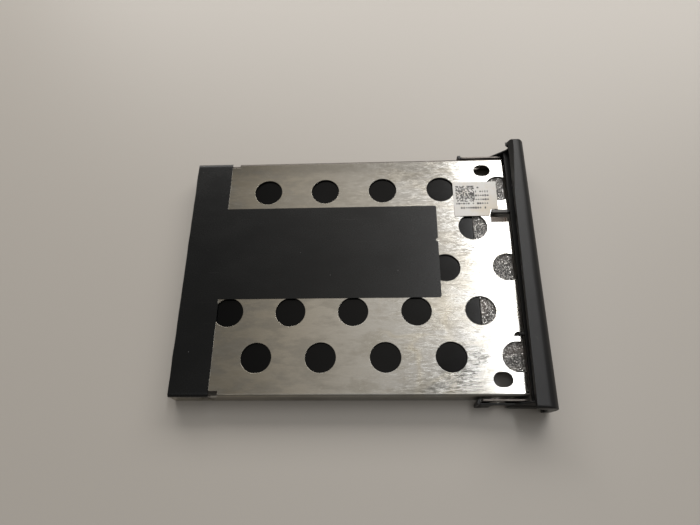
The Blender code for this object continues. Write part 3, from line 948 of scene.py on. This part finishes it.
@dataclass
class MouldedBezel:
    """The moulded bezel with its ribs, arms and hooks, and a slope on its lip's inner face."""

    edge: float = 0.15 * MM
    lip_bottom: float = 9.6 * MM
    lip_thickness: float = 1.5 * MM
    lip_reach: float = 45.0 * MM
    chamfer: float = 1.3 * MM
    chamfer_start: float = 20.0 * MM
    chamfer_run: float = 15.0 * MM

    def shift(self, point: Vector) -> float:
        """Let the lip's inner face slope towards its far end.

        Args:
            point: A point of the bezel.

        Returns:
            How far it moves along X.
        """
        if point.z < self.lip_bottom or point.x > self.lip_reach:
            return 0.0
        up = min((point.z - self.lip_bottom) / self.lip_thickness, 1.0)
        far = min(max((point.y - self.chamfer_start) / self.chamfer_run, 0.0), 1.0)
        return self.chamfer * up * far

    def build(self) -> None:
        plastic = MouldedPlastic().material()
        item = EdgedSolid("bezel", self.edge).build("moulded_bezel", plastic, self.shift)
        piece(item, Slot.BEZEL, "bezel")


@dataclass
class Specks:
    """Small flat specks scattered over the upper faces of a mesh."""

    name: str
    slot: Slot
    density: float
    radius: float
    tilt: float
    lift: float
    smallest: float = 0.45
    largest: float = 1.35
    corners: int = 5
    full_turn: float = 6.28
    upward: float = 0.5
    seed: int = 11

    def build(self, ground: bpy.types.Mesh, finish: bpy.types.Material) -> None:
        """Args:
            ground: A copy of the mesh that they lie on.
            finish: Their material.
        """
        recipe = Recipe(self.name, finish)
        density = recipe.size("Density", self.density)
        radius = recipe.size("Speck Radius", self.radius)
        lift = recipe.size("Lift", (0.0, 0.0, self.lift))
        seed = recipe.size("Seed", self.seed)
        normal = recipe.node("GeometryNodeInputNormal")
        height = recipe.node("ShaderNodeSeparateXYZ", None, {0: normal}, "Z")
        upper = recipe.node("FunctionNodeCompare", {"operation": "GREATER_THAN"}, {0: height, 1: self.upward})
        points = recipe.node("GeometryNodeDistributePointsOnFaces", None,
                             {"Mesh": recipe.ground, "Selection": upper, "Density": density, "Seed": seed})
        speck = recipe.node("GeometryNodeMeshCircle", {"fill_type": "NGON"},
                            {"Vertices": self.corners, "Radius": radius})
        turn = recipe.chance((-self.tilt, -self.tilt, 0.0), (self.tilt, self.tilt, self.full_turn), seed, 1)
        scale = recipe.chance(self.smallest, self.largest, seed, 2)
        placed = recipe.instances(points, speck, Rotation=turn, Scale=scale)
        lifted = recipe.node("GeometryNodeSetPosition", None, {"Geometry": placed, "Offset": lift})
        piece(recipe.bake(self.name, ground, lifted), self.slot)


@dataclass
class PlateFilm:
    """The film on the plate: a strip that wraps the fold edges, with a long tongue."""

    thickness: float = 0.12 * MM
    lift: float = 0.03 * MM
    strip: float = 10.6 * MM
    overhang: float = 0.05 * MM
    bend_start: float = 35.05 * MM
    bend_radius: float = 0.65 * MM
    wrap: float = 0.95 * MM
    reach: float = 72.4 * MM
    tongue_near: float = -9.0 * MM
    tongue_far: float = 19.6 * MM
    corner: float = 0.35 * MM
    nick: float = 0.6 * MM
    nick_place: float = 8.5 * MM
    nick_step: int = 30
    waver: float = 0.10 * MM
    waver_rate: float = 180.0
    steady: float = 0.3
    step: float = 1.5 * MM
    bend_shares: tuple[float, ...] = (0.0, 0.25, 0.5, 0.75)
    sharp: float = math.radians(40.0)

    def outline(self) -> list[tuple[float, float]]:
        """Lay the film flat, with a small nick in the tongue's end.

        Returns:
            The corners, anticlockwise, along and across the tray.
        """
        side = self.bend_start + self.wrap
        near, far, reach, corner = self.tongue_near, self.tongue_far, self.reach, self.corner
        loose = [(-self.overhang, -side), (self.strip, -side), (self.strip, near), (reach - corner, near),
                 (reach, near + corner)]
        for turn in range(270, 89, -self.nick_step):
            angle = math.radians(turn)
            loose.append((reach + self.nick * math.cos(angle), self.nick_place + self.nick * math.sin(angle)))
        loose += [(reach, far - corner), (reach - corner, far), (self.strip, far), (self.strip, side),
                  (-self.overhang, side)]
        return loose

    def dense(self) -> Iterable[tuple[float, float]]:
        """Add points to the long edges, which waver as a hand-cut edge does, most at the open end.

        Yields:
            The outline's points.
        """
        points = self.outline()
        for start, end in zip(points, points[1:] + points[:1]):
            run = math.dist(start, end)
            count = max(1, round(run / self.step))
            for index in range(count):
                share = index / count
                x = start[0] + (end[0] - start[0]) * share
                y = start[1] + (end[1] - start[1]) * share
                bend = noise.noise(Vector((x, y, 0.0)) * self.waver_rate) if index else 0.0
                across = (end[1] - start[1]) / run, (start[0] - end[0]) / run
                reach = self.waver * bend * (1.0 if start[0] <= 0.0 and end[0] <= 0.0 else self.steady)
                yield x + across[0] * reach, y + across[1] * reach

    def folded(self, x: float, y: float, top: float, start: float) -> Vector:
        """Lay a point of the flat film on the plate or round a fold edge.

        Args:
            x: Along the tray.
            y: Across the flat film.
            top: Height of the film's underside on the plate.
            start: Where the tray starts.

        Returns:
            The point in the row frame.
        """
        past = abs(y) - self.bend_start
        if past <= 0.0:
            return Vector((start + x, y, top))
        radius = self.bend_radius + self.lift
        angle = past / radius
        side = math.copysign(self.bend_start + radius * math.sin(angle), y)
        return Vector((start + x, side, top - radius * (1.0 - math.cos(angle))))

    def build(self) -> None:
        """Make the film, dress it and scatter its dust."""
        item = link("plate_film", self.sheet())
        solid = item.modifiers.new("film", "SOLIDIFY")
        solid.thickness = self.thickness
        solid.offset = 1.0
        settle(item, BlackFilm().material())
        item.data.shade_smooth()
        item.data.set_sharp_from_angle(angle=self.sharp)
        piece(item, Slot.OUTER_FILM, "outer_film")
        dust = Specks("film_dust", Slot.OUTER_FILM, density=5.0e3, radius=0.14 * MM, tilt=0.0, lift=0.02 * MM)
        dust.build(item.data.copy(), LINT.material())

    def sheet(self) -> bpy.types.Mesh:
        """Cut the flat film and fold it over the tray.

        Returns:
            The film's underside.
        """
        low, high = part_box("tray")
        top = high[2] + self.lift
        bm = bmesh.new()
        bm.faces.new([bm.verts.new((x, y, 0.0)) for x, y in self.dense()])
        cuts = [self.bend_start + self.wrap * share for share in self.bend_shares]
        for cut in (side * value for value in cuts for side in (-1, 1)):
            geometry = [*bm.verts, *bm.edges, *bm.faces]
            bmesh.ops.bisect_plane(bm, geom=geometry, plane_co=(0.0, cut, 0.0), plane_no=(0.0, 1.0, 0.0))
        bmesh.ops.triangulate(bm, faces=bm.faces)
        for vertex in bm.verts:
            vertex.co = self.folded(vertex.co.x, vertex.co.y, top, low[0])
        bmesh.ops.recalc_face_normals(bm, faces=bm.faces)
        if next(iter(bm.faces)).normal.z < 0.0:
            bmesh.ops.reverse_faces(bm, faces=bm.faces)
        mesh = bpy.data.meshes.new("plate_film")
        bm.to_mesh(mesh)
        bm.free()
        return mesh


@dataclass
class Underside:
    """The film under the plate and the foam strip beside it."""

    film: BlackFilm = BlackFilm("under_film", base=(0.0015, 0.0016, 0.0018), scuff=(0.006, 0.006, 0.006),
                                roughness=0.15, gloss=0.24)
    foam: SpeckledFoam = SpeckledFoam()

    def build(self) -> None:
        """Dress the film and the foam, and scatter the foam's flakes."""
        assign(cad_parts["inner_film"], self.film.material())
        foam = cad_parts["foam_strip"]
        assign(foam, self.foam.material())
        flakes = Specks("foam_flakes", Slot.FOAM_STRIP, density=5.0e6, radius=0.085 * MM, tilt=0.35,
                        lift=0.05 * MM)
        flakes.build(foam.data.copy(), BRIGHT_FLAKE.material())


@dataclass
class ThinLabel:
    """The label beside the latch notch, with a generic grey print of cells and bars."""

    cell: float = 0.285 * MM
    cells: int = 18
    fill: float = 0.56
    ink: float = 0.008 * MM
    block_start: float = 0.9 * MM
    block_far: float = 1.5 * MM
    bar: float = 0.44 * MM
    bar_pitch: float = 1.55
    bar_fill: float = 0.76
    least_bar: Place = (0.5, 0.7, 1.0)
    most_bar: Place = (1.3, 1.6, 1.0)
    row_gap: float = 0.6 * MM
    row_drop: float = 0.5 * MM
    row_pitch: float = 1.35 * MM
    row_length: float = 3.9 * MM
    rows: int = 4
    foot_rows: tuple[Place, ...] = ((0.9 * MM, 0.75 * MM, 9.6 * MM), (2.2 * MM, 2.2 * MM, 7.4 * MM))
    seed: int = 5
    bar_seed: int = 8
    scale_seeds: int = 20

    def build(self) -> None:
        """Dress the label and print on it."""
        assign(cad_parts["label"], LabelFilm().material())
        low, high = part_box("label")
        ink = PRINT_INK.material()
        half = self.cell * self.cells / 2
        top = high[2] + self.ink / 2
        centre = (low[0] + self.block_start + half, high[1] - self.block_far - half, top)
        piece(self.print_block(ink, centre), Slot.LABEL)
        start = low[0] + self.block_start + 2 * half + self.row_gap
        first = centre[1] + half - self.row_drop
        lines = [(start, first - self.row_pitch * row, self.row_length) for row in range(self.rows)]
        lines += [(low[0] + inset, centre[1] - half - drop, length) for inset, drop, length in self.foot_rows]
        piece(self.print_bars(ink, lines, top), Slot.LABEL)

    def print_block(self, ink: bpy.types.Material, centre: Place) -> bpy.types.Object:
        """Print a square of random cells.

        Args:
            ink: The ink.
            centre: The square's centre.

        Returns:
            The piece.
        """
        recipe = Recipe("cell_block", ink)
        cell = recipe.size("Cell Size", self.cell)
        count = recipe.size("Cells", self.cells)
        fill = recipe.size("Fill", self.fill)
        seed = recipe.size("Seed", self.seed)
        side = recipe.node("ShaderNodeMath", {"operation": "MULTIPLY"}, {0: cell, 1: count})
        grid = recipe.node("GeometryNodeMeshGrid", None,
                           {"Size X": side, "Size Y": side, "Vertices X": count, "Vertices Y": count})
        placed = recipe.node("GeometryNodeSetPosition", None, {"Geometry": grid, "Offset": centre})
        inputs = {"Mesh": placed, "Selection": recipe.chosen(fill, seed)}
        points = recipe.node("GeometryNodeMeshToPoints", None, inputs)
        return recipe.bake("label_cells", None, recipe.instances(points, self.tile(recipe, cell)))

    def tile(self, recipe: Recipe, side: bpy.types.NodeSocket) -> bpy.types.NodeSocket:
        """Make a flat square tile of ink.

        Args:
            recipe: The recipe that prints it.
            side: Its side.

        Returns:
            The tile.
        """
        size = recipe.node("ShaderNodeCombineXYZ", None, {"X": side, "Y": side, "Z": self.ink})
        return recipe.node("GeometryNodeMeshCube", None, {"Size": size})

    def print_bars(self, ink: bpy.types.Material, lines: Sequence[Place], top: float) -> bpy.types.Object:
        """Print broken bars where a label has its small lines.

        Args:
            ink: The ink.
            lines: Start and length of each line.
            top: Height of the bars' middle.

        Returns:
            The piece.
        """
        recipe = Recipe("broken_bars", ink)
        bar = recipe.size("Bar Width", self.bar)
        fill = recipe.size("Fill", self.bar_fill)
        seed = recipe.size("Seed", self.bar_seed)
        pitch = self.bar_pitch * self.bar
        rows = []
        for index, (x, y, length) in enumerate(lines):
            row = recipe.node("GeometryNodeMeshLine", None,
                              {"Count": round(length / pitch), "Start Location": (x, y, top),
                               "Offset": (pitch, 0.0, 0.0)})
            chosen = recipe.chosen(fill, recipe.shifted(seed, index))
            scale = recipe.chance(self.least_bar, self.most_bar, seed, self.scale_seeds + index)
            rows.append(recipe.instances(row, self.tile(recipe, bar), Selection=chosen, Scale=scale))
        return recipe.bake("label_bars", None, *rows)


@dataclass(frozen=True)
class Lamp:
    """A rectangular lamp.

    Attributes:
        name: The lamp's name.
        place: Where it hangs.
        aim: What it points at.
        size: Its two sides.
        power: Its power in watts.
        colour: Its colour.
        spread: Full angle of its beam, in degrees.
        turn: Its turn about its own axis, in degrees.
    """

    name: str
    place: Place
    aim: Place
    size: tuple[float, float]
    power: float
    colour: Colour
    spread: float = 180.0
    turn: float = 0.0

    def hang(self) -> None:
        """Hang the lamp."""
        data = bpy.data.lights.new(self.name, "AREA")
        data.shape = "RECTANGLE"
        data.size, data.size_y = self.size
        data.energy = self.power
        data.color = self.colour
        data.spread = math.radians(self.spread)
        item = bpy.data.objects.new(self.name, data)
        item.location = self.place
        facing = (Vector(self.aim) - Vector(self.place)).to_track_quat("-Z", "Y")
        about = Quaternion((0.0, 0.0, 1.0), math.radians(self.turn))
        item.rotation_euler = (facing @ about).to_euler()
        bpy.context.scene.collection.objects.link(item)


NEUTRAL_LIGHT = (0.985, 0.99, 1.0)
DAYLIGHT = (1.0, 0.972, 0.94)
WARM_LIGHT = (1.0, 0.94, 0.86)
LAMPS = (
    Lamp("ceiling_lamp", (0.431, 0.62, 1.45), (0.431, 0.62, 0.0), (0.18, 1.10), 4.4, NEUTRAL_LIGHT, turn=3.5),
    Lamp("overhead_panel", (0.15, -0.16, 1.40), (0.15, -0.16, 0.0), (1.2, 0.30), 1.5, NEUTRAL_LIGHT),
    Lamp("window_panel", (0.08, 0.575, 0.385), (0.02, 0.04, 0.0), (1.10, 0.33), 5.0, DAYLIGHT),
    Lamp("sky_panel", (-0.25, 0.65, 1.40), (-1.12, 0.02, 0.0), (1.1, 1.25), 0.95, WARM_LIGHT, spread=91.0),
)


@dataclass
class Studio:
    """Pale floor, soft lamps, world and camera."""

    eye: Place = (5.064 * MM, -61.572 * MM, 148.487 * MM)
    turn: Place = (23.972555, 2.886816, 0.457290)
    lens: float = 28.309
    sensor: float = 36.0
    nearest: float = 0.005
    farthest: float = 20.0
    floor_half: float = 3.0
    world: Colour = (0.155, 0.147, 0.134)
    lamps: tuple[Lamp, ...] = LAMPS

    def floor(self) -> None:
        """Lay the floor."""
        bm = bmesh.new()
        bmesh.ops.create_grid(bm, x_segments=2, y_segments=2, size=self.floor_half)
        mesh = bpy.data.meshes.new("table_top")
        bm.to_mesh(mesh)
        bm.free()
        mesh.materials.append(TableTop().material())
        link("table_top", mesh)

    def light(self) -> None:
        """Set the world and the lamps."""
        world = bpy.data.worlds.new("soft_room")
        world.use_nodes = True
        world.node_tree.nodes["Background"].inputs["Color"].default_value = (*self.world, 1.0)
        bpy.context.scene.world = world
        for lamp in self.lamps:
            lamp.hang()

    def camera(self) -> None:
        """Place the camera."""
        data = bpy.data.cameras.new("camera")
        data.sensor_width = self.sensor
        data.lens = self.lens
        data.clip_start = self.nearest
        data.clip_end = self.farthest
        item = bpy.data.objects.new("camera", data)
        item.location = self.eye
        item.rotation_euler = Euler([math.radians(angle) for angle in self.turn], "XYZ")
        bpy.context.scene.collection.objects.link(item)
        bpy.context.scene.camera = item

    def build(self) -> None:
        """Set the whole studio."""
        bpy.context.scene.view_settings.view_transform = "Standard"
        self.floor()
        self.light()
        self.camera()


def main() -> None:
    """Build the dressed caddy and its studio."""
    logging.basicConfig(level=logging.INFO, format="%(name)s: %(message)s")
    for part in (SteelTray(), MouldedBezel(), PlateFilm(), Underside(), ThinLabel(), Studio()):
        part.build()


if __name__ == "__main__":
    main()
